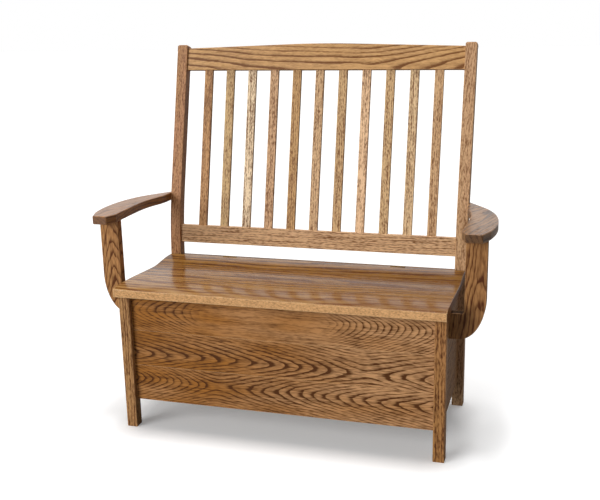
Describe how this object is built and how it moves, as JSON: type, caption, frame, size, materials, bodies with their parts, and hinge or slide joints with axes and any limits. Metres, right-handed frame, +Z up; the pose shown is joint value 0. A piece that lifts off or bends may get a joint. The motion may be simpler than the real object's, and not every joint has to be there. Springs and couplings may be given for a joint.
{
  "type": "storage settle bench",
  "caption": "Oak storage bench with a slatted leaning back, curved flat arms on turned-up supports, and a scooped seat that is the box's hinged lid.",
  "frame": {"origin": "on the floor, under the middle of the whole piece", "axes": "+X towards the sitter's left, which is the right of the picture from the front; +Y to the back; +Z up"},
  "size_m": [1.281, 0.6356, 1.2063],
  "materials": {
    "oak_frame": "satin varnished oak with open grain",
    "oak_panels": "satin varnished oak with cathedral grain",
    "oak_seat": "satin varnished oak boards glued edge to edge",
    "inside_wood": "plain wood, lightly finished",
    "hinge_brass": "darkened old brass",
    "screw_steel": "plated steel",
    "dowel_wood": "bare wood"
  },
  "bodies": {
    "frame": {"front_leg_left": "oak_frame", "front_leg_right": "oak_frame", "back_post_left": "oak_frame", "back_post_right": "oak_frame", "hinge_rail": "oak_frame", "lower_back_rail": "oak_frame", "crest_rail": "oak_frame", "back_slat_01": "oak_frame", "back_slat_02": "oak_frame", "back_slat_03": "oak_frame", "back_slat_04": "oak_frame", "back_slat_05": "oak_frame", "back_slat_06": "oak_frame", "back_slat_07": "oak_frame", "back_slat_08": "oak_frame", "back_slat_09": "oak_frame", "back_slat_10": "oak_frame", "back_slat_11": "oak_frame", "arm_support_left": "oak_frame", "arm_support_right": "oak_frame", "arm_left": "oak_frame", "arm_right": "oak_frame", "front_board_bottom": "oak_panels", "front_board_middle": "oak_panels", "front_board_top": "oak_panels", "side_panel_left": "oak_panels", "side_panel_right": "oak_panels", "back_panel": "inside_wood", "box_bottom": "inside_wood", "cleat_front": "inside_wood", "cleat_back": "inside_wood", "cleat_left": "inside_wood", "cleat_right": "inside_wood", "hinge_1_rail_leaf": "hinge_brass", "hinge_1_pin": "hinge_brass", "hinge_2_rail_leaf": "hinge_brass", "hinge_2_pin": "hinge_brass", "support_screws": "screw_steel", "support_dowels": "dowel_wood", "post_dowels": "dowel_wood"},
    "lid": {"lid_board_1": "oak_seat", "lid_board_2": "oak_seat", "lid_board_3": "oak_seat", "lid_board_4": "oak_seat", "lid_batten_left": "inside_wood", "lid_batten_right": "inside_wood", "hinge_1_lid_leaf": "hinge_brass", "hinge_2_lid_leaf": "hinge_brass"}
  },
  "joints": [
    {"name": "lid_hinge", "type": "hinge", "parent": "frame", "child": "lid", "pos_m": [0, 0.12717, 0.4808], "axis": [-1, 0, 0], "range_deg": [0, 95]}
  ]
}
